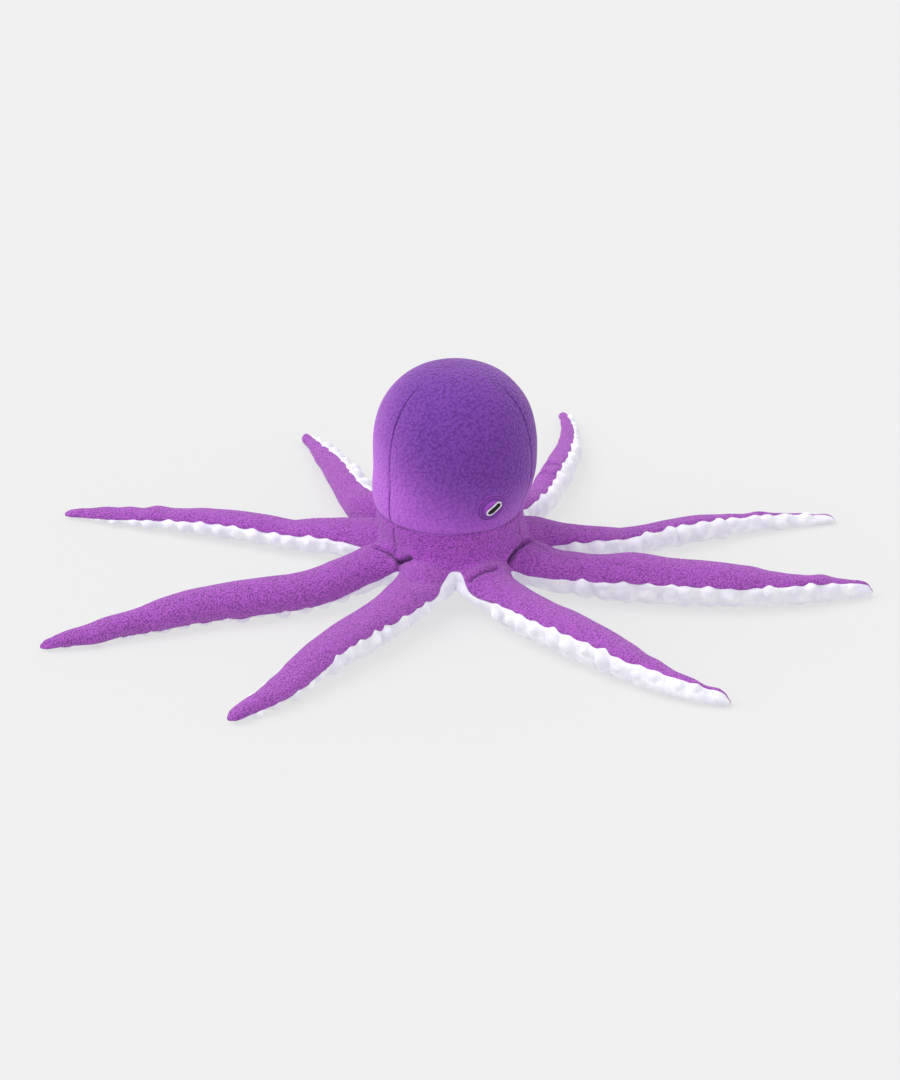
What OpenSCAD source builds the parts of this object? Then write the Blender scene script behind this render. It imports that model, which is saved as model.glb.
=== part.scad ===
// Plush octopus: a stuffed head and skirt over eight long arms, fleece above and
// white plush below. The face looks along -Y and the belly rests on the plane z = 0.

/* [Head] */
// Height of the crown above the floor
crown_z = 228; // [210:1:260]
// Height of the head's widest ring
head_mid_z = 136; // [120:1:150]
// Radius of the head's widest ring
head_r = 81; // [75:0.5:86]
// How square the head's dome is: 2 is a plain ellipse
dome_square = 2.4; // [2:0.1:3]
// Number of gores the head is sewn from
gores = 3; // [3:1:3]
// Furthest the head leans either way, in degrees
head_lean = 10; // [5:1:12]

/* [Body] */
// Height of the neck seam
neck_z = 80; // [72:1:84]
// Radius of the neck seam
neck_r = 73; // [68:0.5:74]
// Height of the hem, where the skirt parts into arms
hem_z = 42; // [36:1:46]
// Radius of the hem
hem_r = 73; // [70:0.5:75]
// Radius of the flat patch that the belly rests on
belly_r = 32; // [24:1:45]

/* [Arms] */
// Half width of an arm where it is fullest
arm_half_w = 25; // [20:0.5:26]
// Half height of an arm where it is fullest
arm_half_h = 21; // [17:0.5:22]
// Distance of the root hinges from the centre line
hinge_r = 88; // [86:0.5:94]
// Height of the root hinges
hinge_z = 27; // [25:0.5:30]
// Share of an arm's length at which it bends
bend_share = 0.47; // [0.40:0.01:0.55]

/* [Eyes] */
// Angle of each eye from the middle of the face
eye_azimuth = 39.5; // [30:0.5:42]
// Height of the eyes
eye_z = 109; // [100:0.5:118]
// Radius of the round eye patches
patch_r = 15.5; // [12:0.5:18]
// Length of the slit pupils
slit_len = 17; // [12:0.5:20]
// Width of the slit pupils
slit_w = 6; // [4:0.5:8]
// Lean of the pupils from level, in degrees
slit_tilt = 42; // [0:1:60]

/* [Fabric] */
// Thickness of the fleece and the plush
fleece_t = 2; // [1.5:0.1:2.5]
// Clearance between a fabric and the filling inside it
slack = 0.3; // [0.2:0.05:0.6]

/* [Hidden] */
purple = "#A256B6";
head_purple = "#8A4CAB";
white = "#EAE9F2";
fibre = "#F6F4EE";
felt = "#15131A";

// Each arm: name, azimuth of its root from the face, length from hinge to tip, then how far
// its heading turns from that azimuth and how far its fabric is rolled about its own axis.
// Turns and rolls are pairs of distance from the hinge and angle; azimuth and turn grow
// towards +X from the face, and a roll lifts the white plush on the arm's right. Last comes
// the arm's share of the full width and height, which it reaches 90 mm from its hinge.
ARMS = [
    ["front", 0, 336,
        [[0, 9], [75, 9], [125, 16], [175, 18], [220, 26], [270, 33], [336, 37]],
        [[0, 4], [90, 13], [200, 16], [270, 40], [336, 76]],
        [1.0, 1.2]],
    ["front_right", 45, 326,
        [[0, -24], [40, -18], [80, 0], [130, 3], [200, -1], [300, -11], [326, -14]],
        [[0, 0], [60, 34], [150, 50], [240, 66], [326, 114]],
        [0.74, 0.7]],
    ["right", 90, 338,
        [[0, -26], [50, -18], [95, 5], [150, 7], [200, 12], [270, 22], [338, 34]],
        [[0, 0], [70, 50], [150, 62], [338, 66]],
        [0.74, 0.74]],
    ["back_right", 135, 290,
        [[0, 34], [45, 34], [85, -4], [110, -8], [200, -4], [290, 0]],
        [[0, 0], [70, 66], [120, 84], [290, 88]],
        [0.82, 0.8]],
    ["back", 180, 336,
        [[0, 2], [80, 2], [130, 0], [200, 6], [290, 8], [336, 6]],
        [[0, 0], [60, -22], [200, -20], [260, -8], [336, 20]],
        [0.8, 0.74]],
    ["back_left", 225, 344,
        [[0, 10], [40, 8], [90, -5], [140, -11], [190, 0], [245, 3], [295, 1], [344, -8]],
        [[0, 0], [60, 24], [140, 40], [344, 42]],
        [0.9, 0.88]],
    ["left", 270, 292,
        [[0, -8], [40, -10], [80, -17], [140, -14], [200, -9], [250, -22], [292, -34]],
        [[0, 0], [60, -16], [150, -20], [190, -4], [230, 14], [292, 22]],
        [0.94, 0.94]],
    ["front_left", 315, 302,
        [[0, 15], [75, 19], [130, 24], [185, 23], [235, 30], [277, 46], [302, 56]],
        [[0, 0], [50, 24], [200, 36], [255, 68], [302, 102]],
        [1.0, 1.0]],
];

// How full an arm is along its length, as shares of its length and of its largest size.
FULLNESS = [[0, 0.88], [0.12, 0.98], [0.25, 1], [0.42, 0.98], [0.55, 0.9], [0.68, 0.76],
    [0.8, 0.6], [0.9, 0.46], [0.96, 0.37], [0.99, 0.28], [1, 0.2]];

LAYERS = ["fleece", "suckers", "filling"];
HALVES = ["root", "end"];
EYES = [["left", -1], ["right", 1]];

arm_nodes = [for (a = ARMS, h = HALVES, l = LAYERS) str(a[0], "_arm_", h, "_", l)];

// The head leans and the arms swing about balls of filling inside the fabric.
neck_gap = 2 * (neck_r + 2) * tan(head_lean / 2) + 1;
neck_ball_r = 30;
arm_ball_r = 17;
arm_neck_r = 11;
bend_ball_r = 13;
hinge_gap = 12;
sheath_z = neck_z - neck_gap / 2;
$fa = 4;
$fs = 1;

// Radius of the head's outside at height z: an egg with its narrow end at the neck.
head_up = crown_z - head_mid_z;
head_down = (head_mid_z - neck_z) / sqrt(1 - pow(neck_r / head_r, 2));
function egg(z, in) = let (upper = z > head_mid_z, power = upper ? dome_square : 2,
        share = abs(z - head_mid_z) / ((upper ? head_up : head_down) - in))
    (head_r - in) * pow(max(0, 1 - pow(share, power)), 1 / power);

// The egg's side from the neck to the crown, with points closer together where it curves over.
head_base_z = neck_z + neck_gap / 2;
function egg_side(in) = let (heights = concat(
        [for (i = [0:5]) head_base_z + i / 6 * (head_mid_z - head_base_z)],
        [for (i = [0:13]) head_mid_z + (head_up - in) * sin(i / 14 * 90)]))
    concat([for (z = heights) [egg(z, in), z]], [[0, crown_z - in]]);

function belly_radius(z) = belly_r + (hem_r - belly_r) * sin(90 * z / hem_z);
function skirt_radius(z) = hem_r + (neck_r - hem_r) * pow((z - hem_z) / (neck_z - hem_z), 2);

// Solid of revolution between an outline's left and right sides, lowest point first.
module turned(outer, inner, angle = 360) {
    rotate_extrude(angle = angle)
        polygon(concat(outer, [for (i = [len(inner) - 1:-1:0]) inner[i]]));
}

// ---- Head ----

module head_gore(index) {
    seam = 0.15;
    color(head_purple)
        rotate(-90 + seam + index * 360 / gores)
            turned(egg_side(0), egg_side(fleece_t), 360 / gores - 2 * seam);
}

module head_filling() {
    color(fibre)
        difference() {
            turned(egg_side(fleece_t + slack), [[0, head_base_z]]);
            translate([0, 0, neck_z])
                sphere(neck_ball_r + 2 * slack);
        }
}

// ---- Eyes ----

// Turns the XZ plane, with its normal along -Y, to face out of the head at an eye. The
// patch is centred where the local origin is, `out` above the fleece.
module at_eye(side, out = 0) {
    z = eye_z;
    slope = atan((egg(z + 1, 0) - egg(z - 1, 0)) / 2);
    rotate(side * eye_azimuth)
        translate([0, -egg(z, 0), z])
            rotate([slope, 0, 0])
                translate([0, -out, 0])
                    children();
}

// The flat patches touch the curved head at the middle and stand off it at the rim.
patch_t = 1.6;
module disc_out(t) {
    rotate([90, 0, 0])
        linear_extrude(t)
            children();
}

module slot_outline(length, width) {
    reach = (length - width) / 2;
    for (end = [-1, 1])
        translate([end * reach, 0])
            circle(width / 2);
    square([2 * reach, width], center = true);
}

module eye_patch(side) {
    color(purple)
        at_eye(side, slack)
            disc_out(patch_t)
                circle(patch_r);
}

module eye_slit(side) {
    color(felt)
        at_eye(side, slack + patch_t + 0.1)
            rotate([0, side * slit_tilt, 0])
                disc_out(0.9)
                    slot_outline(slit_len - 3.4, slit_w - 2.4);
}

module eye_slit_edging() {
    color(white)
        for (e = EYES)
            at_eye(e[1], slack + patch_t + 0.1)
                rotate([0, e[1] * slit_tilt, 0])
                    disc_out(1.2)
                        difference() {
                            slot_outline(slit_len, slit_w + 1.2);
                            slot_outline(slit_len - 3.2, slit_w - 2.2);
                        }
}

// ---- Body ----

// Puts its children at each arm's root hinge, with +Y pointing away from the body.
module at_each_root() {
    for (a = ARMS)
        rotate(a[1] - 180)
            translate([0, hinge_r, hinge_z])
                children();
}

module arm_neck(r) {
    rotate([90, 0, 0])
        cylinder(h = hinge_r - belly_r, r = r);
}

module belly_panel() {
    rows = 7;
    outer = [for (i = [0:rows]) let (z = i / rows * hem_z) [belly_radius(z), z]];
    inner = [for (p = outer) [p[0] - fleece_t, max(fleece_t, p[1])]];
    color(white)
        difference() {
            turned(concat([[0, 0]], outer), concat([[0, fleece_t]], inner));
            at_each_root()
                arm_neck(arm_neck_r + slack);
        }
}

module skirt_panels() {
    rows = 4;
    seam = 0.15;
    low = hem_z + slack;
    outer = [for (i = [0:rows]) let (z = low + i / rows * (sheath_z - low)) [skirt_radius(z), z]];
    inner = [for (p = outer) [p[0] - fleece_t, p[1]]];
    color(purple)
        for (index = [0:gores - 1])
            rotate(-90 + seam + index * 360 / gores)
                turned(outer, inner, 360 / gores - 2 * seam);
}

module body_filling() {
    in = fleece_t + slack;
    rows = 7;
    low = [for (i = [1:rows]) let (z = i / rows * hem_z) if (z > in) [belly_radius(z) - in, z]];
    high = [for (i = [1:4]) let (z = hem_z + i / 4 * (sheath_z - hem_z)) [skirt_radius(z) - in, z]];
    color(fibre)
        union() {
            turned(concat([[0, in], [belly_r - in, in]], low, high), [[0, sheath_z]]);
            translate([0, 0, neck_z])
                sphere(neck_ball_r);
            at_each_root() {
                sphere(arm_ball_r);
                arm_neck(arm_neck_r);
            }
        }
}

// ---- Arms ----

// An arm's middle line is walked in short steps along its heading from the hinge.
step = 4;
function unit(azimuth) = [sin(azimuth), -cos(azimuth)];
function heading(a, s) = a[1] + lookup(s, a[3]);
function walk(a) = [for (i = 0, p = hinge_r * unit(a[1]); i * step <= a[2] + step;
    p = p + step * unit(heading(a, (i + 0.5) * step)), i = i + 1) [i * step, p[0], p[1]]];
WALKS = [for (a = ARMS) walk(a)];
function middle(w, s) = [lookup(s, [for (p = w) [p[0], p[1]]]), lookup(s, [for (p = w) [p[0], p[2]]])];

function fullness(a, s) = lookup(s / a[2], FULLNESS);
function girth(a, s, i) = lookup(s, [[20, 1], [90, a[5][i]]]);
function half_w(a, s) = arm_half_w * fullness(a, s) * girth(a, s, 0);
function half_h(a, s) = arm_half_h * fullness(a, s) * girth(a, s, 1);
// The arm lies on the floor, and rises to its hinge over its first stretch.
rise_len = 90;
function rise(a, s) = (hinge_z - half_h(a, 0)) * pow(max(0, 1 - s / rise_len), 2);
function bend_at(a) = bend_share * a[2];
// A tall arm leaves a wider gap in its cloth at the bend, so that its halves don't meet.
function bend_gap(a) = hinge_gap * max(1, 1.15 * a[5][1]);

// A point of the arm's outside at distance s, at angle `round` from its right side over its
// top, drawn in by `in`.
function skin(a, w, s, round, in) = let (
        along = unit(heading(a, s)), across = [along[1], -along[0]],
        c = middle(w, s), sx = max(0.5, half_w(a, s) - in), sz = max(0.5, half_h(a, s) - in))
    [c[0] + across[0] * sx * cos(round), c[1] + across[1] * sx * cos(round),
        rise(a, s) + half_h(a, s) + sz * sin(round)];

// Where the rings of cloth lie on each half of the arm.
rings = 9;
function spread(from, to, n) = [for (i = [0:n]) from + (to - from) * i / n];
function cloth_rings(a, end) = end
    ? concat(spread(bend_at(a) + bend_gap(a), a[2] - 14, rings - 1), [a[2] - 5, a[2]])
    : spread(hinge_gap, bend_at(a) - bend_gap(a), rings);

// A four-sided face as two triangles.
function two(a, b, c, d) = [[a, b, c], [a, c, d]];

// A strip of cloth round half of the arm: from its right seam over the top for the fleece,
// and under for the plush.
chords = 9;
module cloth(index, end, under) {
    a = ARMS[index];
    w = WALKS[index];
    stations = cloth_rings(a, end);
    last = len(stations) - 1;
    row = chords + 1;
    seam = 0.6;
    points = [for (s = stations, in = [0, fleece_t], i = [0:chords])
        let (from = lookup(s, a[4]) + (under ? -180 : 0) + seam)
        skin(a, w, s, from + i / chords * (180 - 2 * seam), in)];
    function v(k, side, i) = (2 * k + side) * row + i;
    skins = [for (k = [0:last - 1], i = [0:chords - 1]) each concat(
        two(v(k, 0, i), v(k, 0, i + 1), v(k + 1, 0, i + 1), v(k + 1, 0, i)),
        two(v(k + 1, 1, i), v(k + 1, 1, i + 1), v(k, 1, i + 1), v(k, 1, i)))];
    seams = [for (k = [0:last - 1]) each concat(
        two(v(k, 0, 0), v(k + 1, 0, 0), v(k + 1, 1, 0), v(k, 1, 0)),
        two(v(k, 1, chords), v(k + 1, 1, chords), v(k + 1, 0, chords), v(k, 0, chords)))];
    ends = [for (i = [0:chords - 1]) each concat(
        two(v(0, 1, i), v(0, 1, i + 1), v(0, 0, i + 1), v(0, 0, i)),
        two(v(last, 0, i), v(last, 0, i + 1), v(last, 1, i + 1), v(last, 1, i)))];
    faces = concat(skins, seams, ends);
    polyhedron(points, faces);
}

// The filling of one half of an arm, as rings of [distance, how far its surface is drawn in,
// or a radius]. The root half carries the ball that the end half bends about.
facets = 12;
function filling_rings(a, end) = end
    ? [for (s = concat(spread(bend_at(a) + bend_ball_r + 2, a[2] - 14, 7), [a[2] - 6])) [s, 0]]
    : concat([for (s = spread(arm_ball_r + 2, bend_at(a) - bend_gap(a), 7)) [s, 0]],
        [[bend_at(a) - bend_gap(a) + 0.5, bend_ball_r * 0.5]],
        [for (t = [-50, -25, 0, 25, 50, 75])
            [bend_at(a) + bend_ball_r * sin(t), bend_ball_r * cos(t)]]);

module filling(index, end) {
    a = ARMS[index];
    w = WALKS[index];
    stations = filling_rings(a, end);
    last = len(stations) - 1;
    in = fleece_t + 2 * slack;
    axis_z = function (s) rise(a, s) + half_h(a, s);
    points = [for (r = stations, i = [0:facets - 1])
        let (round = 360 * i / facets, c = middle(w, r[0]),
            along = unit(heading(a, r[0])), across = [along[1], -along[0]])
        r[1] == 0 ? skin(a, w, r[0], round, in)
            : [c[0] + across[0] * r[1] * cos(round), c[1] + across[1] * r[1] * cos(round),
                axis_z(bend_at(a)) + r[1] * sin(round)]];
    faces = concat(
        [for (k = [0:last - 1], i = [0:facets - 1]) let (j = (i + 1) % facets, b = k * facets)
            each two(b + i, b + j, b + facets + j, b + facets + i)],
        [[for (i = [facets - 1:-1:0]) i]],
        [[for (i = [0:facets - 1]) last * facets + i]]);
    polyhedron(points, faces);
}

module arm_piece(index, half, layer) {
    end = half == "end";
    if (layer == "fleece")
        color(purple)
            cloth(index, end, false);
    if (layer == "suckers")
        color(white)
            cloth(index, end, true);
    if (layer == "filling")
        color(fibre)
            filling(index, end);
}

belly_panel();
skirt_panels();
body_filling();
head_gore(0);  // head_gore_right
head_gore(1);  // head_gore_back
head_gore(2);  // head_gore_left
head_filling();
eye_patch(-1);  // left_eye_patch
eye_patch(1);  // right_eye_patch
eye_slit(-1);  // left_eye_slit
eye_slit(1);  // right_eye_slit
eye_slit_edging();
for (index = [0:len(ARMS) - 1], half = HALVES, layer = LAYERS)
    arm_piece(index, half, layer);
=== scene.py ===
"""Plush octopus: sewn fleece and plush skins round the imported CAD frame."""

import math

import bpy
import numpy as np
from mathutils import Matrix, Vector


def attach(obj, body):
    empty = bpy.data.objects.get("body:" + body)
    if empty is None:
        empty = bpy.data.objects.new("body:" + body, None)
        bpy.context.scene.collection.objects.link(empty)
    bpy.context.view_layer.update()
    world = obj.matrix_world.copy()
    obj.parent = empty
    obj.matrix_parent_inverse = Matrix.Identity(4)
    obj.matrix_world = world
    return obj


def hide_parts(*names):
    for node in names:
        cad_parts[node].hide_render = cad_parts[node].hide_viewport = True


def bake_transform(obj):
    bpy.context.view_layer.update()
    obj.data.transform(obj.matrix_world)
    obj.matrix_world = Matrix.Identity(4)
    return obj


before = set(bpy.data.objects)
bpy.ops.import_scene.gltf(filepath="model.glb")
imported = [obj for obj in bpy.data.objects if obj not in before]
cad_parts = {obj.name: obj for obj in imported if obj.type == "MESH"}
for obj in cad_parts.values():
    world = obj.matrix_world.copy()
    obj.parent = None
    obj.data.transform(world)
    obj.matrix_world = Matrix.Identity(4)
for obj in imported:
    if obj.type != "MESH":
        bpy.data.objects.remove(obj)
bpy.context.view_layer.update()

MM = 0.001
rng = np.random.default_rng(8)

# ---------------------------------------------------------------- dimensions, in millimetres
# These repeat the driving dimensions of part.scad.
CROWN_Z, HEAD_MID_Z, HEAD_R = 228.0, 136.0, 81.0
NECK_Z, NECK_R, DOME = 80.0, 73.0, 2.4
HEM_Z, HEM_R, BELLY_R = 42.0, 73.0, 32.0
ARM_HALF_W, ARM_HALF_H = 25.0, 21.0
HINGE_R, HINGE_Z = 88.0, 27.0
BEND_SHARE, RISE_LEN = 0.47, 90.0
EYE_AZIMUTH, EYE_Z, PATCH_R = 39.5, 109.0, 15.5
SLIT_LEN, SLIT_W, SLIT_TILT = 17.0, 6.0, 42.0

# name, azimuth, length, girth across and up, then turns and rolls along the arm
ARMS = [
    ("front", 0, 336, (1.0, 1.2),
     [(0, 9), (75, 9), (125, 16), (175, 18), (220, 26), (270, 33), (336, 37)],
     [(0, 4), (90, 13), (200, 16), (270, 40), (336, 76)]),
    ("front_right", 45, 326, (0.74, 0.7),
     [(0, -24), (40, -18), (80, 0), (130, 3), (200, -1), (300, -11), (326, -14)],
     [(0, 0), (60, 34), (150, 50), (240, 66), (326, 114)]),
    ("right", 90, 338, (0.74, 0.74),
     [(0, -26), (50, -18), (95, 5), (150, 7), (200, 12), (270, 22), (338, 34)],
     [(0, 0), (70, 50), (150, 62), (338, 66)]),
    ("back_right", 135, 290, (0.82, 0.8),
     [(0, 34), (45, 34), (85, -4), (110, -8), (200, -4), (290, 0)],
     [(0, 0), (70, 66), (120, 84), (290, 88)]),
    ("back", 180, 336, (0.8, 0.74),
     [(0, 2), (80, 2), (130, 0), (200, 6), (290, 8), (336, 6)],
     [(0, 0), (60, -22), (200, -20), (260, -8), (336, 20)]),
    ("back_left", 225, 344, (0.9, 0.88),
     [(0, 10), (40, 8), (90, -5), (140, -11), (190, 0), (245, 3), (295, 1), (344, -8)],
     [(0, 0), (60, 24), (140, 40), (344, 42)]),
    ("left", 270, 292, (0.94, 0.94),
     [(0, -8), (40, -10), (80, -17), (140, -14), (200, -9), (250, -22), (292, -34)],
     [(0, 0), (60, -16), (150, -20), (190, -4), (230, 14), (292, 22)]),
    ("front_left", 315, 302, (1.0, 1.0),
     [(0, 15), (75, 19), (130, 24), (185, 23), (235, 30), (277, 46), (302, 56)],
     [(0, 0), (50, 24), (200, 36), (255, 68), (302, 102)]),
]
FULLNESS = [(0, 0.88), (0.12, 0.98), (0.25, 1), (0.42, 0.98), (0.55, 0.9), (0.68, 0.76),
            (0.8, 0.6), (0.9, 0.46), (0.96, 0.37), (0.99, 0.28), (1, 0.2)]


def lookup(x, table):
    return np.interp(x, [t[0] for t in table], [t[1] for t in table])


def smooth(x, lo, hi):
    t = np.clip((x - lo) / (hi - lo), 0, 1)
    return t * t * (3 - 2 * t)


def bell(x, width):
    return np.exp(-((x / width) ** 2))


def unit(azimuth):
    """The way out from the axis at an azimuth: 0 is the face's, and it grows to the right."""
    a = np.radians(azimuth)
    return np.stack([np.sin(a), -np.cos(a)], -1)


class Arm:
    """An arm's middle line and its section along it. It runs in from the hinge to the axis."""

    def __init__(self, name, azimuth, length, girth, turns, rolls):
        self.name, self.azimuth, self.length = name, azimuth, length
        self.girth, self.turns, self.rolls = girth, turns, rolls
        out = np.arange(0, length + 8.0, 1.0)
        steps = unit(azimuth + lookup(out + 0.5, turns))
        line = HINGE_R * unit(azimuth) + np.vstack([[0, 0], np.cumsum(steps, 0)[:-1]])
        back = np.arange(-HINGE_R + 6, 0, 1.0)
        self.s = np.concatenate([back, out])
        self.line = np.vstack([(HINGE_R + back)[:, None] * unit(azimuth), line])
        ahead = azimuth + lookup(self.s, turns) * smooth(self.s, -1, 1)
        self.along = unit(ahead)

    def full(self, s):
        return lookup(np.maximum(s, 0) / self.length, FULLNESS)

    def half_w(self, s):
        return ARM_HALF_W * self.full(s) * lookup(s, [(20, 1), (90, self.girth[0])])

    def half_h(self, s):
        return ARM_HALF_H * self.full(s) * lookup(s, [(20, 1), (90, self.girth[1])])

    def mid_z(self, s):
        rise = (HINGE_Z - ARM_HALF_H * FULLNESS[0][1]) * np.maximum(0, 1 - s / RISE_LEN) ** 2
        return np.where(s < 0, HINGE_Z, rise + self.half_h(s))

    def at(self, s):
        return np.stack([np.interp(s, self.s, self.line[:, i]) for i in (0, 1)], -1)

    def heading(self, s):
        return unit(self.azimuth + lookup(s, self.turns))


arms = [Arm(*a) for a in ARMS]


FACE_OVERHANG = 5.5


def head_shift(z):
    """How far the lower head and the skirt sit behind the axis, so that the face overhangs."""
    return FACE_OVERHANG * (1 - smooth(z, 84, 128)) * smooth(z, 38, 72)


def egg(z):
    up = np.clip((z - HEAD_MID_Z) / (CROWN_Z - HEAD_MID_Z), 0, 1)
    deep = (HEAD_MID_Z - NECK_Z) / math.sqrt(1 - (NECK_R / HEAD_R) ** 2)
    down = np.clip((HEAD_MID_Z - z) / deep, 0, 1)
    dome = (1 - up**DOME) ** (1 / DOME)
    return HEAD_R * np.where(z > HEAD_MID_Z, dome, np.sqrt(1 - down**2))


def skirt_cone(z):
    return HEM_R + (NECK_R - HEM_R) * np.clip((z - HEM_Z) / (NECK_Z - HEM_Z), 0, 1.3) ** 2


def neck_dent(z):
    """How deep the neck seam pulls both skins in."""
    return 1.5 * bell(z - NECK_Z, 1.7)


def neck_shade(z):
    return 0.5 * bell(z - NECK_Z, 0.8)


# ---------------------------------------------------------------- camera, light and floor
scene = bpy.context.scene
scene.view_settings.view_transform = "Standard"
scene.view_settings.look = "None"


def collection_link(o):
    scene.collection.objects.link(o)
    return o


AZ, EL, DISTANCE = -67.5, 25.5, 4.0
a, e = math.radians(AZ), math.radians(EL)
cam_back = Vector((math.sin(a) * math.cos(e), -math.cos(a) * math.cos(e), math.sin(e)))
cam_right = Vector((math.cos(a), math.sin(a), 0))
cam_up = Vector((-math.sin(a) * math.sin(e), math.cos(a) * math.sin(e), math.cos(e)))
aim = -0.005 * cam_right + 0.037 * cam_up
camera = collection_link(bpy.data.objects.new("camera", bpy.data.cameras.new("camera")))
camera.data.sensor_width = 36
camera.data.lens = 36 * DISTANCE / 1.08
camera.data.clip_start, camera.data.clip_end = 0.1, 50
camera.location = aim + cam_back * DISTANCE
camera.rotation_euler = cam_back.to_track_quat("Z", "Y").to_euler()
scene.camera = camera


def sun(name, azimuth, elevation, spread, strength):
    light = bpy.data.lights.new(name, "SUN")
    light.angle, light.energy = math.radians(spread), strength
    o = collection_link(bpy.data.objects.new(name, light))
    az, el = math.radians(azimuth), math.radians(elevation)
    d = Vector((math.sin(az) * math.cos(el), -math.cos(az) * math.cos(el), math.sin(el)))
    o.rotation_euler = d.to_track_quat("Z", "Y").to_euler()


world = bpy.data.worlds.new("studio")
scene.world = world
world.use_nodes = True
world.node_tree.nodes["Background"].inputs["Color"].default_value = (1, 1, 1, 1)
world.node_tree.nodes["Background"].inputs["Strength"].default_value = 0.74
sun("key", AZ - 88, 52, 60, 1.75)
sun("fill", AZ + 70, 40, 80, 0.3)


# ---------------------------------------------------------------- materials
class Nodes:
    """Builds a node tree: every call makes one node and returns its first output."""

    def __init__(self, name):
        self.material = bpy.data.materials.new(name)
        self.material.use_nodes = True
        self.tree = self.material.node_tree
        self.shader = self.tree.nodes["Principled BSDF"]

    def put(self, socket, value):
        if isinstance(value, bpy.types.NodeSocket):
            self.tree.links.new(value, socket)
        else:
            socket.default_value = value

    def make(self, kind, out=0, settings=(), **inputs):
        node = self.tree.nodes.new(kind)
        for key, value in dict(settings).items():
            setattr(node, key, value)
        for key, value in inputs.items():
            self.put(node.inputs[int(key[1:])] if key[1:].isdigit() else node.inputs[key], value)
        return node.outputs[out]

    def math(self, operation, a, b=0.0, c=0.0):
        return self.make("ShaderNodeMath", settings={"operation": operation}, _0=a, _1=b, _2=c)

    def vector(self, operation, a, b, out=0):
        return self.make("ShaderNodeVectorMath", out=out, settings={"operation": operation},
                         _0=a, _1=b)

    def mix(self, factor, a, b):
        node = self.tree.nodes.new("ShaderNodeMix")
        node.data_type = "RGBA"
        for socket, value in zip((node.inputs[0], node.inputs[6], node.inputs[7]), (factor, a, b)):
            self.put(socket, value)
        return node.outputs[2]

    def ramp(self, value, lo, hi):
        return self.make("ShaderNodeMapRange", settings={"interpolation_type": "SMOOTHSTEP"},
                         _0=value, _1=lo, _2=hi, _3=0.0, _4=1.0)

    def rest(self):
        return self.make("ShaderNodeAttribute", out=1, settings={"attribute_name": "rest"})

    def noise(self, place, scale, detail=2.0):
        return self.make("ShaderNodeTexNoise", Vector=place, Scale=scale, Detail=detail)

    def bump(self, height, distance, strength=1.0, under=None):
        node = self.tree.nodes.new("ShaderNodeBump")
        self.put(node.inputs["Height"], height)
        node.inputs["Distance"].default_value = distance
        node.inputs["Strength"].default_value = strength
        if under is not None:
            self.tree.links.new(under, node.inputs["Normal"])
        return node.outputs[0]


def srgb(r, g, b, gain=1.0):
    out = []
    for v in (r, g, b):
        v = v / 255
        v = v / 12.92 if v <= 0.04045 else ((v + 0.055) / 1.055) ** 2.4
        out.append(v * gain)
    return (*out, 1.0)


def fleece(name, low, high, size, relief, darker_zone=None, sheen=0.45):
    """Pebbled fleece: cells of a given size in millimetres, with painted shade in the gaps between
    them and painted highlight on their tops, over their bump.
    """
    n = Nodes(name)
    place = n.rest()
    cells = n.make("ShaderNodeTexVoronoi", Vector=place, Scale=1000.0 / size,
                   settings={"feature": "F1"})
    fuzz = n.noise(place, 1700.0 / size, 3.0)
    patches = n.noise(place, 26.0, 2.0)
    dome = n.math("SUBTRACT", 1.0, n.math("MULTIPLY", n.math("MULTIPLY", cells, cells), 1.9))
    tops = n.math("MULTIPLY_ADD", dome, 0.72, n.math("MULTIPLY", fuzz, 0.5))
    # Painted shade and highlight of the pebbles' relief: low colour in the gaps, high on the tops.
    shade = n.ramp(tops, 0.25, 1.0)
    colour = n.mix(shade, low, high)
    # Darker about a given way out from the middle of the head and its mirror image; for the head it
    # points to the top front.
    if darker_zone:
        darker_low, darker_high, (x, y, z), spread = darker_zone
        centred = n.vector("SUBTRACT", place, (0, 0, 0.125))
        outward = n.vector("NORMALIZE", centred, (0, 0, 0))
        both_sides = n.math("MAXIMUM", n.vector("DOT_PRODUCT", outward, (x, y, z), out=1),
                            n.vector("DOT_PRODUCT", outward, (-x, y, z), out=1))
        soft = n.math("ADD", both_sides, n.math("MULTIPLY_ADD", patches, 0.08, -0.04))
        colour = n.mix(n.ramp(soft, *spread), colour, n.mix(shade, darker_low, darker_high))
    # Painted highlight from a point attribute set on the eye patches: a paler pink mixed in.
    glow = n.make("ShaderNodeAttribute", out=2, settings={"attribute_name": "glow"})
    colour = n.mix(glow, colour, srgb(186, 84, 216))
    # Painted shade: the 'seam' attribute darkens the colour in folds, seam grooves, stitched ring
    # grooves and the neck's crease.
    seam = n.make("ShaderNodeAttribute", out=2, settings={"attribute_name": "seam"})
    colour = n.mix(n.math("MULTIPLY", seam, 0.85), colour, srgb(62, 26, 92))
    n.put(n.shader.inputs["Base Color"], colour)
    n.put(n.shader.inputs["Roughness"], n.math("MULTIPLY_ADD", patches, 0.16, 0.8))
    n.shader.inputs["Sheen Weight"].default_value = sheen
    n.shader.inputs["Sheen Roughness"].default_value = 0.4
    n.shader.inputs["Sheen Tint"].default_value = (0.95, 0.65, 1, 1)
    n.shader.inputs["Specular IOR Level"].default_value = 0.1
    coarse = n.bump(tops, relief * 0.001, 1.0)
    n.put(n.shader.inputs["Normal"], n.bump(n.noise(place, 2100.0, 2.0), 0.0003, 0.7, coarse))
    return n.material


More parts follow.
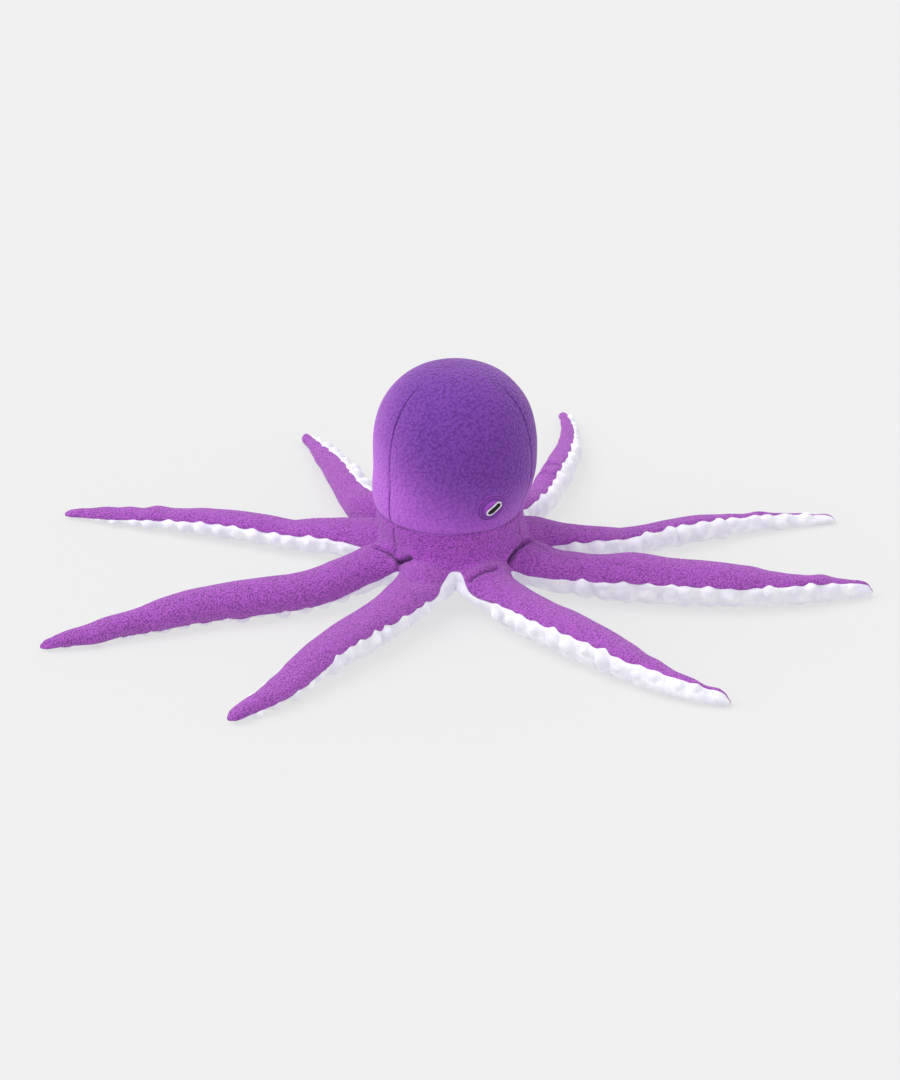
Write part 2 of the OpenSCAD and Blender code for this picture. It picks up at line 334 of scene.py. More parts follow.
def plush(name, colour, shade):
    n = Nodes(name)
    place = n.rest()
    tuft = n.noise(place, 420.0, 3.0)
    fuzz = n.noise(place, 1300.0, 2.0)
    soft = n.noise(place, 70.0, 2.0)
    n.put(n.shader.inputs["Base Color"], n.mix(n.ramp(soft, 0.35, 0.7), shade, colour))
    n.shader.inputs["Roughness"].default_value = 0.95
    n.shader.inputs["Sheen Weight"].default_value = 0.25
    n.shader.inputs["Sheen Roughness"].default_value = 0.5
    n.shader.inputs["Specular IOR Level"].default_value = 0.1
    n.shader.inputs["Subsurface Weight"].default_value = 0.25
    n.shader.inputs["Subsurface Radius"].default_value = (0.006, 0.006, 0.007)
    n.put(n.shader.inputs["Normal"], n.bump(fuzz, 0.0003, 0.5, n.bump(tuft, 0.0009, 0.6)))
    return n.material


def plain(name, colour, rough, scale, depth, sheen=0.0):
    """Felt, thread or card: an even colour that a little noise breaks up."""
    n = Nodes(name)
    place = n.rest()
    grain = n.noise(place, scale, 3.0)
    dim = tuple(0.72 * c for c in colour[:3]) + (1.0,)
    n.put(n.shader.inputs["Base Color"], n.mix(n.ramp(grain, 0.3, 0.7), dim, colour))
    n.shader.inputs["Roughness"].default_value = rough
    n.shader.inputs["Sheen Weight"].default_value = sheen
    n.put(n.shader.inputs["Normal"], n.bump(grain, depth, 0.6))
    return n.material


FACE_WAY = tuple(Vector((-0.30, -0.50, 0.81)).normalized())
head_fleece = fleece("head_fleece", srgb(184, 100, 216), srgb(198, 112, 228), 3.0, 0.8,
                     (srgb(107, 57, 151), srgb(126, 71, 170), FACE_WAY, (-0.3, 0.8)))
skirt_fleece = fleece("skirt_fleece", srgb(150, 72, 176), srgb(194, 98, 218), 1.8, 1.1)
arm_fleece = fleece("arm_fleece", srgb(152, 77, 175), srgb(192, 103, 213), 1.7, 1.1)
patch_fleece = fleece("eye_patch_fleece", srgb(134, 70, 174), srgb(150, 80, 190), 1.6, 0.2)
white_plush = plush("white_plush", srgb(246, 245, 252), srgb(234, 232, 245))
black_felt = plain("black_felt", srgb(10, 9, 12), 0.95, 900.0, 0.0003, 0.03)
white_thread = plain("white_stitching", srgb(250, 248, 250), 0.6, 700.0, 0.0002)

floor_nodes = Nodes("floor")
floor_nodes.shader.inputs["Base Color"].default_value = (0.24, 0.24, 0.24, 1)
floor_nodes.shader.inputs["Emission Color"].default_value = (1, 1, 1, 1)
floor_nodes.shader.inputs["Emission Strength"].default_value = 0.575
floor_nodes.shader.inputs["Roughness"].default_value = 1.0
floor_nodes.shader.inputs["Specular IOR Level"].default_value = 0.0
floor_mesh = bpy.data.meshes.new("floor")
FLOOR_HALF = 30
floor_mesh.from_pydata([(-FLOOR_HALF, -FLOOR_HALF, 0), (FLOOR_HALF, -FLOOR_HALF, 0),
                        (FLOOR_HALF, FLOOR_HALF, 0), (-FLOOR_HALF, FLOOR_HALF, 0)],
                       [], [(0, 1, 2, 3)])
floor_mesh.materials.append(floor_nodes.material)
floor = collection_link(bpy.data.objects.new("floor", floor_mesh))


# ---------------------------------------------------------------- making pieces
def piece(name, points, faces, material, normals=None, seam=None):
    """A finished piece from points in millimetres."""
    mesh = bpy.data.meshes.new(name)
    points = np.asarray(points, float)
    faces = faces.tolist() if isinstance(faces, np.ndarray) else faces
    mesh.from_pydata((points * MM).tolist(), [], faces)
    mesh.polygons.foreach_set("use_smooth", np.ones(len(mesh.polygons), bool))
    place = mesh.attributes.new("rest", "FLOAT_VECTOR", "POINT")
    place.data.foreach_set("vector", (points * MM).astype(np.float32).ravel())
    # The 'seam' attribute carries painted shade for the piece's grooves and folds.
    if seam is not None:
        line = mesh.attributes.new("seam", "FLOAT", "POINT")
        line.data.foreach_set("value", np.asarray(seam, np.float32))
    mesh.materials.append(material)
    mesh.update()
    if normals is not None:
        mesh.normals_split_custom_set_from_vertices(np.asarray(normals, float).tolist())
    o = collection_link(bpy.data.objects.new(name, mesh))
    return o


def vertex_normals(points, tris):
    a, b, c = (points[tris[:, i]] for i in range(3))
    face = np.cross(b - a, c - a)
    out = np.zeros_like(points)
    for i in range(3):
        for k in range(3):
            out[:, k] += np.bincount(tris[:, i], face[:, k], len(points))
    return out / np.maximum(np.linalg.norm(out, axis=1, keepdims=True), 1e-12)


def ripple(points, wavelengths, count, seed):
    """A smooth random field of about -1 to 1: a sum of plane waves."""
    r = np.random.default_rng(seed)
    total = np.zeros(len(points))
    for _ in range(count):
        d = r.normal(size=3)
        d /= np.linalg.norm(d)
        wave = 2 * math.pi / r.uniform(*wavelengths)
        total += np.sin(points @ d * wave + r.uniform(0, 2 * math.pi))
    return total / math.sqrt(count)


def near_line(points, normals, line):
    """Distance along the surface from each point to a chain of straight segments near it."""
    best = np.full(len(points), 1e9)
    for p, q in zip(np.asarray(line[:-1], float), np.asarray(line[1:], float)):
        d = q - p
        t = np.clip((points - p) @ d / (d @ d), 0, 1)
        off = points - p - t[:, None] * d
        off -= 0.9 * (off * normals).sum(1)[:, None] * normals
        best = np.minimum(best, np.linalg.norm(off, axis=1))
    return best


def row_faces(rows, count, start=0, ring=True, closed=False):
    """Quads between rows of points. Each row is a ring or a strip; closed joins last to first."""
    faces = []
    for k in range(rows if closed else rows - 1):
        here, there = start + k * count, start + (k + 1) % rows * count
        faces += [(here + i, here + (i + 1) % count, there + (i + 1) % count, there + i)
                  for i in range(count if ring else count - 1)]
    return faces


# ---------------------------------------------------------------- the body and arms as one skin
def tube(rings):
    """Closed tube through rings of the same number of points."""
    n = len(rings[0])
    faces = row_faces(len(rings), n)
    faces += [tuple(range(n))[::-1], tuple((len(rings) - 1) * n + i for i in range(n))]
    return np.vstack(rings), faces


def arm_source(arm):
    around = np.radians(np.arange(0, 360, 9))
    rings = []
    for s in np.concatenate([np.arange(-50, arm.length - 4, 4), arm.length + np.array([-4, 0, 2])]):
        c = arm.at(s)
        h = arm.heading(max(s, 0)) if s > 0 else unit(arm.azimuth)
        right = np.array([-h[1], h[0]]) * -1
        inner = 1 - smooth(s, -30, 25)
        flare = 7.0 * (1 - smooth(s, -22, 32))
        hw = max(arm.half_w(s) + flare, 4.5)
        hh = max(arm.half_h(s) + 3.0 * inner, 4.0)
        end = math.sqrt(max(0.15, 1 - max(0, (s - arm.length + 4) / 6) ** 2))
        z = float(arm.mid_z(s)) + 4.0 * inner
        rings.append(np.stack([c[0] + right[0] * hw * end * np.cos(around),
                               c[1] + right[1] * hw * end * np.cos(around),
                               z + hh * end * np.sin(around)], -1))
    return tube(rings)


def body_source():
    heights = [0, 1, 3, 7, 12, 18, 25, 33, HEM_Z, 50, 60, 70, 80, 90, 100]
    around = np.radians(np.arange(0, 360, 5))
    rings = []
    for z in heights:
        r = BELLY_R + (HEM_R - BELLY_R) * math.sin(math.radians(90 * z / HEM_Z)) \
            if z < HEM_Z else HEM_R + (NECK_R - HEM_R) * ((z - HEM_Z) / (NECK_Z - HEM_Z)) ** 2
        rings.append(np.stack([r * np.sin(around), -r * np.cos(around) + head_shift(z),
                               np.full(len(around), float(z))], -1))
    return tube(rings)


def joined_skin(voxel):
    points, faces, start = [], [], 0
    for p, f in [body_source()] + [arm_source(arm) for arm in arms]:
        points.append(p)
        faces += [tuple(i + start for i in face) for face in f]
        start += len(p)
    mesh = bpy.data.meshes.new("source")
    mesh.from_pydata((np.vstack(points) * MM).tolist(), [], faces)
    o = collection_link(bpy.data.objects.new("source", mesh))
    remesh = o.modifiers.new("remesh", "REMESH")
    remesh.mode, remesh.voxel_size = "VOXEL", voxel * MM
    bpy.context.view_layer.update()
    made = bpy.data.meshes.new_from_object(o.evaluated_get(bpy.context.evaluated_depsgraph_get()))
    n = len(made.vertices)
    co = np.empty(n * 3, np.float32)
    made.vertices.foreach_get("co", co)
    made.calc_loop_triangles()
    tris = np.empty(len(made.loop_triangles) * 3, np.int32)
    made.loop_triangles.foreach_get("vertices", tris)
    edges = np.empty(len(made.edges) * 2, np.int32)
    made.edges.foreach_get("vertices", edges)
    bpy.data.objects.remove(o)
    bpy.data.meshes.remove(mesh)
    bpy.data.meshes.remove(made)
    return co.reshape(-1, 3).astype(float) / MM, tris.reshape(-1, 3), edges.reshape(-1, 2)


def relax(points, edges, rounds, weight=1.0):
    a, b = edges.T
    count = np.bincount(a, minlength=len(points)) + np.bincount(b, minlength=len(points))
    w = np.broadcast_to(weight, len(points))[:, None] * 0.5
    for _ in range(rounds):
        total = np.stack([np.bincount(a, points[b, k], len(points))
                          + np.bincount(b, points[a, k], len(points)) for k in range(3)], -1)
        points = points + w * (total / np.maximum(count, 1)[:, None] - points)
    return points


VOXEL = 1.6
skin, tris, edges = joined_skin(VOXEL)
axis_r = np.hypot(skin[:, 0], skin[:, 1])
skin = relax(skin, edges, int(60 / VOXEL**2) + 4, 1 - 0.75 * smooth(axis_r, 100, 130))

# Where each point lies on its nearest arm.
reach_to = np.full((len(skin), len(arms)), 1e9)
own_s = np.zeros((len(skin), len(arms)))
for k, arm in enumerate(arms):
    picks = arm.line[::3]
    ticks, heads = arm.s[::3], arm.along[::3]
    for lo in range(0, len(skin), 20000):
        p = skin[lo:lo + 20000, :2]
        d2 = ((p[:, None, :] - picks[None]) ** 2).sum(2)
        i = d2.argmin(1)
        off = p - picks[i]
        along = (off * heads[i]).sum(1)
        ahead = np.clip(along, -3, 3)
        reach_to[lo:lo + 20000, k] = np.linalg.norm(off - ahead[:, None] * heads[i], axis=1)
        own_s[lo:lo + 20000, k] = ticks[i] + along
nearest = reach_to.argmin(1)
s_at = own_s[np.arange(len(skin)), nearest]
side = np.zeros(len(skin))
across = np.zeros((len(skin), 2))
mid_z, half_w, half_h, roll, length, full = (np.zeros(len(skin)) for _ in range(6))
for k, arm in enumerate(arms):
    m = nearest == k
    s = s_at[m]
    h = np.where((s > 0)[:, None], arm.heading(np.maximum(s, 0)), unit(arm.azimuth))
    across[m] = np.stack([h[:, 1], -h[:, 0]], -1)
    side[m] = ((skin[m, :2] - arm.at(s)) * across[m]).sum(1)
    mid_z[m], half_w[m], half_h[m] = arm.mid_z(s), arm.half_w(s), arm.half_h(s)
    roll[m], length[m], full[m] = lookup(s, arm.rolls), arm.length, arm.full(s)

# Past the roots the skin goes onto the arms' true sections, and the skirt onto its cone.
rise = skin[:, 2] - mid_z
hug = smooth(s_at, 28, 62) * (1 - smooth(s_at, length - 7, length - 2))
ratio = np.maximum(np.hypot(side / half_w, rise / half_h), 0.2)
pull = hug * (1 / ratio - 1)
skin[:, :2] += (pull * side)[:, None] * across
skin[:, 2] += pull * rise
shift = head_shift(skin[:, 2])
ring = np.hypot(skin[:, 0], skin[:, 1] - shift)
pull = smooth(skin[:, 2], 54, 66) * (skirt_cone(skin[:, 2]) / ring - 1)
skin[:, 0] += pull * skin[:, 0]
skin[:, 1] += pull * (skin[:, 1] - shift)

# Which side of the long seams each point is on: fleece above 0, plush below.
rise = skin[:, 2] - mid_z
side = side * (1 + hug * (1 / ratio - 1))
radius = np.hypot(skin[:, 0], skin[:, 1])
tilt = np.radians(roll)
over = rise * np.cos(tilt) - side * np.sin(tilt)
right_of = side * np.cos(tilt) + rise * np.sin(tilt)
turn = np.degrees(np.arctan2(rise / half_h, side / half_w)) - roll + 90
turn = (turn + 180) % 360 - 180
mean_r = np.sqrt(half_w * half_h)

# Two rows of knobs, at KNOB_TURN degrees from the middle of the plush, and the ruffled seams.
KNOB_PITCH, KNOB_R, KNOB_H, KNOB_TURN = 20.0, 8.4, 3.6, 66.0
RUFFLE_H = 2.6
knobs = np.zeros(len(skin))
folds = np.zeros(len(skin))
wave = np.zeros(len(skin))
for k, arm in enumerate(arms):
    m = nearest == k
    s, t = s_at[m], turn[m]
    for row in (-1, 1):
        count = int((arm.length - 34) / KNOB_PITCH) + 1
        jitter = rng.uniform(-1, 1, (count, 4))
        first = 22 + (KNOB_PITCH / 2 if row > 0 else 0) + 3 * jitter[0, 0]
        i = np.clip(np.round((s - first) / KNOB_PITCH), 0, count - 1).astype(int)
        centre = first + KNOB_PITCH * i + 4.0 * jitter[i, 0]
        size = (0.5 + 0.5 * arm.full(centre)) * (0.85 + 0.4 * jitter[i, 1])
        size = size * (1 - smooth(centre, arm.length - 30, arm.length - 16))
        if arm.name == "back_left" and row > 0:  # its far row lies pressed flat
            size = size * (1 - 0.85 * smooth(centre, 90, 130))
        around = (t - row * (KNOB_TURN + 9 * jitter[i, 2])) * mean_r[m] * math.pi / 180
        far = np.hypot(s - centre, around) / np.maximum(KNOB_R * size, 0.5)
        knob = KNOB_H * size * (1 - smooth(far, 0.15, 1.25))
        knob -= 0.5 * size * bell(far - 1.25, 0.35)
        knobs[m] += knob
        at_seam = right_of[m] * row > 0
        wave[m] += at_seam * RUFFLE_H * size * (1 + 0.6 * jitter[i, 3]) * bell(s - centre, 5.0)
        share = np.abs(s - centre + 0.04 * around) / (KNOB_PITCH / 2)  # from a knob to the next
        folds[m] += size * (1.0 - 2.2 * np.clip(share, 0, 1) ** 2) \
            * smooth(row * t, -24, 18) * (1 + 0.5 * jitter[i, 3])

# Between two arms the seam crosses at a steady height, and it arches up in the front left crotch.
CROTCH_Z, ARCH_AZIMUTH = 34, -67.5
off_arch = np.abs(np.degrees(np.arctan2(skin[:, 0], -skin[:, 1])) - ARCH_AZIMUTH)
crotch_z = CROTCH_Z + 8.0 * np.exp(-((off_arch / 9) ** 4))
crotch = 1 - smooth(radius, 74, 94 + 26 * bell(off_arch, 20))
wave *= smooth(s_at, 8, 26)
over = (1 - crotch) * (over - wave) + crotch * (skin[:, 2] - crotch_z)

on_arm = smooth(s_at, -2, 30)
flat = vertex_normals(skin, tris)
dents = ripple(skin, (40, 100), 9, 3) * (0.3 + 0.45 * on_arm * full)
dents += ripple(skin, (16, 30), 7, 6) * 0.8 * smooth(s_at / length, 0.5, 0.8)
dents = dents * (1 - smooth(skin[:, 2], 60, 74))

# Folds at the arms' roots and ends: points along each, then depth, width and the strength of the
# shade painted into the fold.
FOLDS = [
    ([(-60, 60, 47), (-62, 52, 46.5), (-64, 42, 44.5), (-66, 31, 39)], 3.2, 2.2, 0.8),
    ([(-66, 31, 39), (-68, 24, 44), (-72, 17, 49)], 4.5, 2.6, 1.0),
    ([(-77, -49, 39), (-74, -51, 42), (-70, -56, 44.5), (-62, -63, 46), (-54, -67, 46)],
     3.4, 2.4, 0.9),
    ([(-27, -66, 39), (-21, -67, 43), (-11, -69, 46.5), (-4, -72, 48.5), (5, -75, 48)],
     5.5, 2.8, 1.0),
    ([(-104, 0, 44), (-94, -18, 41), (-90, -26, 38)], 3.0, 8.0, 0.0),
    ([(206, -34, 30), (207, -22, 31), (210, -10, 28)], 2.2, 3.0, 0.3),
    ([(228, -22, 29), (232, -12, 30), (238, -2, 26)], 2.2, 3.0, 0.3),
]
tucks = np.zeros(len(skin))
# Painted shade, darker along the folds, the skirt's seam grooves and the neck, goes to the fleece
# as the 'seam' attribute.
shade_in_grooves = np.zeros(len(skin))
for points, depth, width, fold_shade in FOLDS:
    gap = near_line(skin, flat, points)
    tucks -= depth * bell(gap, width)
    tucks += 0.35 * depth * bell(gap - 2.4 * width, 1.4 * width)
    shade_in_grooves = np.maximum(shade_in_grooves, fold_shade * bell(gap, 0.62 * width))

# The skirt's own seams carry on the gores' seams, down to its hem.
seam_off = np.full(len(skin), 1e3)
for azimuth in (0, 120, 240):
    away = skin[:, 0] * unit(azimuth)[1] - skin[:, 1] * unit(azimuth)[0]
    front = skin[:, :2] @ unit(azimuth) > 0
    seam_off = np.where(front & (skin[:, 2] > 46), np.minimum(seam_off, np.abs(away)), seam_off)
tucks -= bell(seam_off, 1.5)
# Painted shade in the skirt seams' grooves.
shade_in_grooves = np.maximum(shade_in_grooves, 0.45 * bell(seam_off, 0.9))
# The front arm swells where it comes out of its pinched root.
swell = 2.6 * bell(radius - 90, 11) * (nearest == 0) * smooth(skin[:, 2], 30, 40)
tucks += swell * (1 - smooth(np.abs(side), 12, 26))
shade_in_grooves = np.maximum(shade_in_grooves, neck_shade(skin[:, 2]))

# The plush between the rows sags, and is lumpy all over.
sag = 2.3 * smooth(90 - np.abs(turn), 2, 34) * smooth(s_at, 12, 40) * (0.3 + 0.7 * full)
plump = ripple(skin, (12, 26), 9, 4) * 0.8 + ripple(skin * (1, 1, 0.35), (7, 12), 9, 5) * 0.45
plump *= full
plush_out = (knobs + folds) * smooth(s_at, 6, 24) - sag + plump * smooth(s_at, 0, 20)
is_plush = 1 - smooth(over, -1.6, 1.6)
groove = -0.9 * bell(over, 1.3)
out = (1 - is_plush) * dents + is_plush * plush_out + groove - neck_dent(skin[:, 2]) + tucks
skin = skin + flat * out[:, None]

# What rests on the floor flattens on it.
REST_Z, FLOOR_SOFT = 0.3, 1.3
skin[:, 2] = REST_Z + FLOOR_SOFT * np.logaddexp(0, (skin[:, 2] - REST_Z) / FLOOR_SOFT)
normal = vertex_normals(skin, tris)

# The skirt is what lies above and within these two, with their corner rounded off.
above, within = skin[:, 2] - 44, 79 - radius
skirt = np.minimum(above, within) - 2.0 * np.exp(-np.abs(above - within) / 4)


# ---------------------------------------------------------------- the skin cut into its pieces
def clip(data, faces, field):
    """The part of a mesh where a column of its vertex data is positive, cut exactly."""
    f = data[:, field] if isinstance(field, int) else field(data)
    inside = f > 0
    count = inside[faces].sum(1)
    kept = [faces[count == 3]]
    mixed = faces[(count == 1) | (count == 2)]
    if len(mixed):
        lone = np.where(inside[mixed].sum(1) == 1, inside[mixed].argmax(1), inside[mixed].argmin(1))
        rows = np.arange(len(mixed))
        a, b, c = (mixed[rows, (lone + i) % 3] for i in range(3))
        pairs = np.sort(np.concatenate([np.stack([a, b], 1), np.stack([a, c], 1)]), 1)
        unique, inverse = np.unique(pairs, axis=0, return_inverse=True)
        inverse = inverse.ravel()
        u, v = unique.T
        t = (f[u] / (f[u] - f[v]))[:, None]
        made = data[u] * (1 - t) + data[v] * t
        ab = inverse[:len(mixed)] + len(data)
        ac = inverse[len(mixed):] + len(data)
        one = inside[a]
        kept.append(np.stack([a, ab, ac], 1)[one])
        kept.append(np.stack([ab, b, c], 1)[~one])
        kept.append(np.stack([ab, c, ac], 1)[~one])
        data = np.vstack([data, made])
    faces = np.concatenate(kept)
    used, faces = np.unique(faces, return_inverse=True)
    faces = faces.reshape(-1, 3)
    data = data[used]
    a, b, c = (data[faces[:, i], :3] for i in range(3))
    big = np.linalg.norm(np.cross(b - a, c - a), axis=1) > 1e-5
    return data, faces[big]


def cut_piece(name, data, faces, material):
    used, faces = np.unique(faces, return_inverse=True)
    data, faces = data[used], faces.reshape(-1, 3)
    return piece(name, data[:, :3], faces, material, normals=data[:, 3:6],
                 seam=data[:, PAINTED_SHADE])


# Columns of a vertex's data, after its place and its normal. The last three are for one arm.
OVER, SKIRT, RADIUS, PAINTED_SHADE, S, LEFT, RIGHT = range(6, 13)
BELLY_CUT, SPLIT_S, SKIRT_INNER_R = 56.0, 80.0, 40.0
base = np.column_stack([skin, normal, over, skirt, radius, np.clip(shade_in_grooves, 0, 1)])


def arm_skin(k):
    """The skin nearer to an arm than to its neighbours, out from the belly and the skirt."""
    before, after = (k - 1) % len(arms), (k + 1) % len(arms)
    near = (nearest == k) | (nearest == after) | (nearest == before)
    take = near[tris].all(1) & (nearest[tris] == k).any(1)
    data = np.column_stack([base, own_s[:, k], reach_to[:, before] - reach_to[:, k],
                            reach_to[:, after] - reach_to[:, k]])
    data, faces = clip(data, tris[take], LEFT)
    data, faces = clip(data, faces, RIGHT)
    data, faces = clip(data, faces, lambda d: d[:, RADIUS] - BELLY_CUT)
    return clip(data, faces, lambda d: -d[:, SKIRT])


for k, arm in enumerate(arms):
    data, faces = arm_skin(k)
    fleece_side = clip(data, faces, OVER)
    plush_side = clip(data, faces, lambda d: -d[:, OVER])
    h = arm.heading(12 if abs(arm.turns[0][1]) < 30 else 0)
    root = arm.name + "_arm_root"
    tip = arm.name + "_arm_end"
    bend = BEND_SHARE * arm.length
    bx, by = arm.at(bend)
    bh = arm.heading(bend)
    for label, (d, f), material, slot in (
            ("fleece", fleece_side, arm_fleece, "arm_fleece"),
            ("suckers", plush_side, white_plush, "white_plush")):
        d0, f0 = clip(d, f, lambda v: SPLIT_S - v[:, S])
        o = cut_piece(root + "_" + label + "_cover", d0, f0, material)
        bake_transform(o)
        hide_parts(root + "_" + label, *([root + "_filling"] if label == "fleece" else []))
        d1, f1 = clip(d, f, lambda v: v[:, S] - SPLIT_S)
        o = cut_piece(tip + "_" + label + "_cover", d1, f1, material)
        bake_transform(o)
        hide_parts(tip + "_" + label, *([tip + "_filling"] if label == "fleece" else []))

low = base[:, 2] < 60
data, faces = clip(base, tris[low[tris].all(1)], lambda d: BELLY_CUT - d[:, RADIUS])
belly = cut_piece("belly_cover", data, faces, white_plush)
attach(belly, "body")
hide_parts("belly_panel")

data, faces = clip(base, tris[(radius[tris] < 95).all(1)], SKIRT)
data, faces = clip(data, faces, lambda d: NECK_Z - d[:, 2])
data, faces = clip(data, faces, lambda d: d[:, RADIUS] - SKIRT_INNER_R)
GORES = [("right", 0), ("back", 120), ("left", 240)]


def lean_with_head(o):
    """Bakes the piece's placing into its points."""
    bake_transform(o)


for name, start in GORES:
    first, last = unit(start), unit(start + 120)
    d, f = clip(data, faces, lambda v: v[:, 1] * first[0] - v[:, 0] * first[1])
    d, f = clip(d, f, lambda v: v[:, 0] * last[1] - v[:, 1] * last[0])
    o = cut_piece("skirt_" + name + "_cover", d, f, skirt_fleece)
    lean_with_head(o)
    if name == "right":
        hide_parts("skirt_panels", "body_filling")

# ---------------------------------------------------------------- the head
GORE_SEAM = 1.3


def head_points(azimuth, z, r):
    """Points of the head's outside; azimuths run from 0 to 120 in each gore."""
    in_gore = azimuth % 120.0
    off = np.radians(np.minimum(in_gore, 120 - in_gore)) * r
    soft = smooth(r, 26, 66)
    seam = GORE_SEAM * soft * bell(off, 0.9) + 0.3 * soft * np.exp(-off / 6)
    bulge = 0.6 * np.sin(np.radians(in_gore * 1.5)) * soft
    r = r - seam + bulge - neck_dent(z)
    p = np.stack([r * np.sin(np.radians(azimuth)),
                  -r * np.cos(np.radians(azimuth)) + head_shift(z), z + 0 * r], -1)
    grow = 0.45 * ripple(p, (38, 80), 7, 11) * soft
    return p + grow[:, None] * np.stack([np.sin(np.radians(azimuth)),
                                         -np.cos(np.radians(azimuth)), 0 * azimuth], -1)


def head_rows():
    """Heights and radii of the head's rings. The lowest are tucked in behind the skirt."""
    lower = np.concatenate([[80, 80.6, 81.3, 82.2, 83.4], np.linspace(85, HEAD_MID_Z, 34)])
    t = np.linspace(0, math.pi / 2 - 0.012, 66)[1:]
    upper = HEAD_MID_Z + (CROWN_Z - HEAD_MID_Z) * np.sin(t) ** (2 / DOME)
    return (np.concatenate([[74, 77, 79], lower, upper]),
            np.concatenate([NECK_R - np.array([3.2, 1.2, 0.3]), egg(lower),
                            HEAD_R * np.cos(t) ** (2 / DOME)]))


edge = np.array([0, 0.25, 0.55, 0.9, 1.4, 2.0, 2.8, 3.8])
columns = np.concatenate([edge, np.linspace(5, 115, 74), (120 - edge)[::-1]])
for name, start in GORES:
    zs, rs = head_rows()
    grid = [head_points(start + columns, np.full(len(columns), zz), np.full(len(columns), rr))
            for zz, rr in zip(zs, rs)]
    points = np.vstack(grid + [[[0, 0, CROWN_Z]]])
    w = len(columns)
    faces = row_faces(len(zs), w, ring=False)
    last = (len(zs) - 1) * w
    faces += [(last + i, last + i + 1, len(points) - 1) for i in range(w - 1)]
    # Painted shade along the gore seams' grooves and at the neck, passed on as the 'seam'
    # attribute.
    off_seam = np.radians(np.minimum(columns, 120 - columns))[None, :] * rs[:, None]
    line = bell(off_seam, 0.7) * smooth(rs, 26, 60)[:, None]
    line *= (0.35 + 0.65 * smooth(np.abs(zs - 150), 18, 42))[:, None]
    line = np.maximum(line, neck_shade(zs)[:, None])
    o = piece("head_gore_" + name + "_cover", points, faces, head_fleece,
              seam=np.append(line.ravel(), 0))
    lean_with_head(o)
    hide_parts("head_gore_" + name, *(["head_filling"] if name == "right" else []))

# ---------------------------------------------------------------- the eyes
STITCH_RINGS = (PATCH_R - 1.6, PATCH_R - 4.8)
SLIT_WHITE = 1.8  # thickness of the stitching round a slot
SLIT_HALF = SLIT_W / 2 + 0.9
SLIT_REACH = (SLIT_LEN - SLIT_W) / 2 - 1.0  # from the slot's middle to the centres of its ends
SLIT_CENTRE = (2.2, -1.0)


def eye_surface(side_sign, x, y, out):
    """Points at x, y on the plane that touches the head at an eye, laid onto the head."""
    az = side_sign * EYE_AZIMUTH
    centre = head_points(np.array([float(az)]), np.array([EYE_Z]), egg(np.array([EYE_Z])))[0]
    tangent = np.array([math.cos(math.radians(az)), math.sin(math.radians(az)), 0])
    level = egg(np.array([EYE_Z - 1, EYE_Z + 1]))
    slope = (level[1] - level[0]) / 2
    up = np.append(unit(az) * slope, 1)
    up /= np.linalg.norm(up)
    q = centre + x[:, None] * tangent + y[:, None] * up
    zz = q[:, 2]
    az_q = np.degrees(np.arctan2(q[:, 0], -(q[:, 1] - head_shift(zz))))
    on = head_points(az_q, zz, egg(zz))
    d = np.column_stack([unit(az_q), -slope + 0 * zz])
    return on + (out / np.linalg.norm(d, axis=1))[:, None] * d


def disc_out(r):
    """Height of a patch above the fleece: two stitched rings and a padded iris."""
    h = 1.2 * (1 - smooth(r, PATCH_R - 1.2, PATCH_R)) - 0.3
    for ring_r in STITCH_RINGS:
        h = h - 0.7 * bell(r - ring_r, 0.55)
    return h + 0.7 * (1 - smooth(r, 4.5, 7.4))


def eye_patch(name, sign):
    radii, around = np.linspace(0.6, PATCH_R, 52), np.radians(np.arange(0, 360, 3.0))
    rr, tt = np.meshgrid(radii, around, indexing="ij")
    x = np.append(0, rr.ravel() * np.cos(tt.ravel()))
    y = np.append(0, rr.ravel() * np.sin(tt.ravel()))
    r = np.hypot(x, y)
    points = eye_surface(sign, x, y, disc_out(r))
    n = len(around)
    faces = [(0, 1 + i, 1 + (i + 1) % n) for i in range(n)]
    faces += [(a, d, c, b) for a, b, c, d in row_faces(len(radii), n, start=1)]
    outer, inner = STITCH_RINGS
    # Painted shade in the grooves of the two stitched rings, passed on as the 'seam' attribute.
    rings = 0.85 * bell(r - outer, 0.6) + 0.8 * bell(r - inner, 0.6)
    o = piece(name + "_eye_patch_cover", points, faces, patch_fleece,
              seam=rings)
    # Painted highlight: paler on the lit side of the iris's swell behind the slot, and along the
    # patch's raised rim.
    iris = bell(r - 6.2, 1.2) * smooth(y * 0.6 + sign * x * 0.8, -1, 4)
    iris = np.maximum(iris, 0.6 * bell(r - PATCH_R + 0.6, 0.5))
    glow = o.data.attributes.new("glow", "FLOAT", "POINT")
    glow.data.foreach_set("value", iris.astype(np.float32))
    lean_with_head(o)
    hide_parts(name + "_eye_patch")


def slot_xy(sign, along, out):
    """Turns distances along and across a slot to its eye's x, y."""
    tilt = math.radians(SLIT_TILT)
    x = SLIT_CENTRE[0] + along * math.cos(tilt) - out * math.sin(tilt)
    y = SLIT_CENTRE[1] + along * math.sin(tilt) + out * math.cos(tilt)
    return -sign * x, y


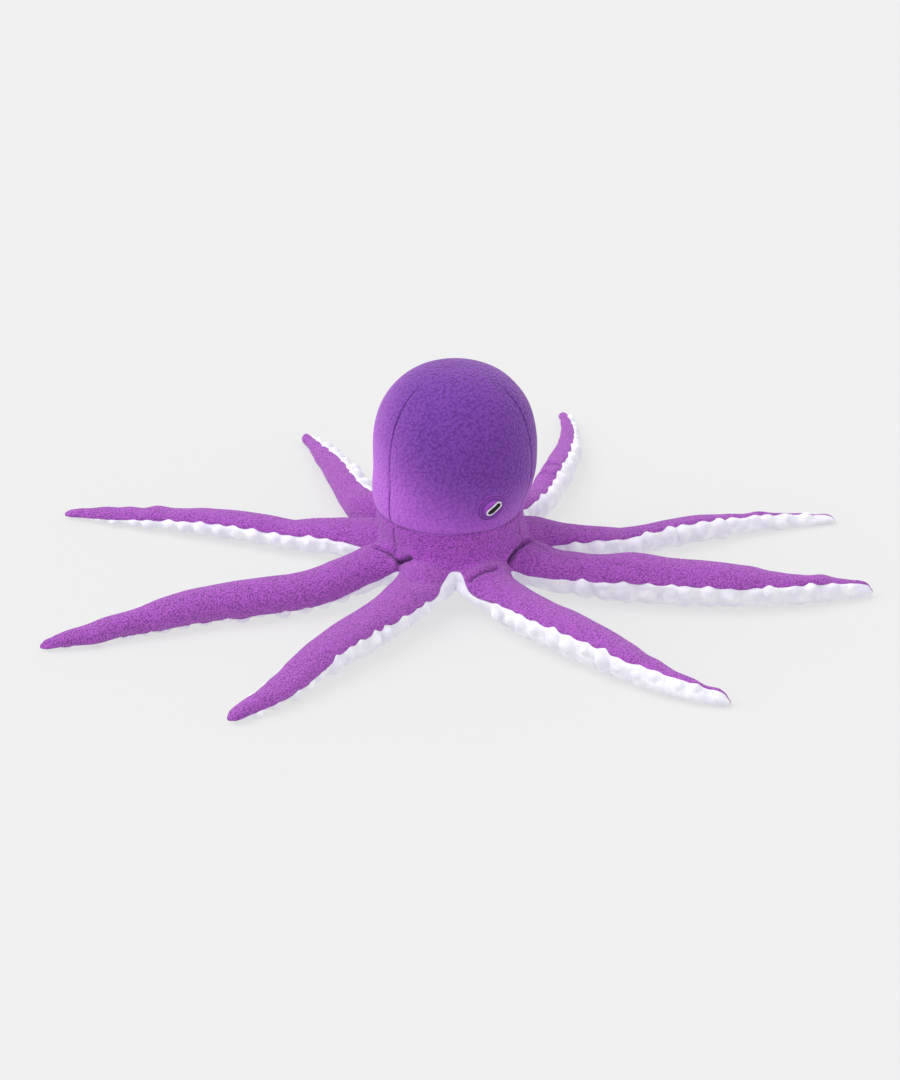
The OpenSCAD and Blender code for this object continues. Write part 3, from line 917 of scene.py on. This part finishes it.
def slot_felt(name, sign):
    around = np.radians(np.arange(0, 360, 5.0))
    rim_along = np.where(np.cos(around) > 0, SLIT_REACH, -SLIT_REACH) + SLIT_HALF * np.cos(around)
    rim_out = SLIT_HALF * np.sin(around)
    shares = np.linspace(1, 0.06, 9)
    along = np.append(np.outer(shares, rim_along).ravel(), 0)
    out = np.append(np.outer(shares, rim_out).ravel(), 0)
    share = np.append(np.repeat(shares, len(around)), 0)
    x, y = slot_xy(sign, along, out)
    lift = disc_out(np.hypot(x, y)) + 0.2 + 0.75 * (1 - share**4)
    n, last = len(around), (len(shares) - 1) * len(around)
    faces = row_faces(len(shares), n)
    faces += [(last + i, last + (i + 1) % n, last + n) for i in range(n)]
    if sign > 0:
        faces = [f[::-1] for f in faces]
    o = piece(name + "_eye_slit_felt", eye_surface(sign, x, y, lift), faces, black_felt)
    lean_with_head(o)
    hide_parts(name + "_eye_slit")


def slot_outline(shares):
    """Points and outward normals at shares of the way round the slot's rim."""
    straight, bow = 2 * SLIT_REACH, math.pi * SLIT_HALF
    rows = []
    for v in shares * 2 * (straight + bow):
        first_half = v < straight + bow
        v -= 0 if first_half else straight + bow
        if v < straight:
            row = (v - SLIT_REACH, -SLIT_HALF, 0.0, -1.0)
        else:
            turn = (v - straight) / SLIT_HALF - math.pi / 2
            row = (SLIT_REACH + SLIT_HALF * math.cos(turn), SLIT_HALF * math.sin(turn),
                   math.cos(turn), math.sin(turn))
        rows.append(row if first_half else tuple(-q for q in row))
    return np.array(rows).T


def slot_stitching(name, sign):
    shares = np.linspace(0, 1, 220, endpoint=False)
    along, out, normal_along, normal_out = slot_outline(shares)
    thick = SLIT_WHITE / 2 * (1 + 0.12 * np.sin(shares * 2 * math.pi * 46))
    tube_n, rings = 12, []
    for w in np.arange(tube_n) * 2 * math.pi / tube_n:
        x, y = slot_xy(sign, along + normal_along * thick * math.cos(w),
                       out + normal_out * thick * math.cos(w))
        lift = disc_out(np.hypot(x, y)) + 0.55 + thick * 0.9 * math.sin(w)
        rings.append(eye_surface(sign, x, y, lift))
    o = piece(name + "_eye_slit_stitching", np.vstack(rings),
              row_faces(tube_n, len(shares), closed=True), white_thread)
    lean_with_head(o)
    if sign < 0:
        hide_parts("eye_slit_edging")


for name, sign in (("left", -1), ("right", 1)):
    eye_patch(name, sign)
    slot_felt(name, sign)
    slot_stitching(name, sign)
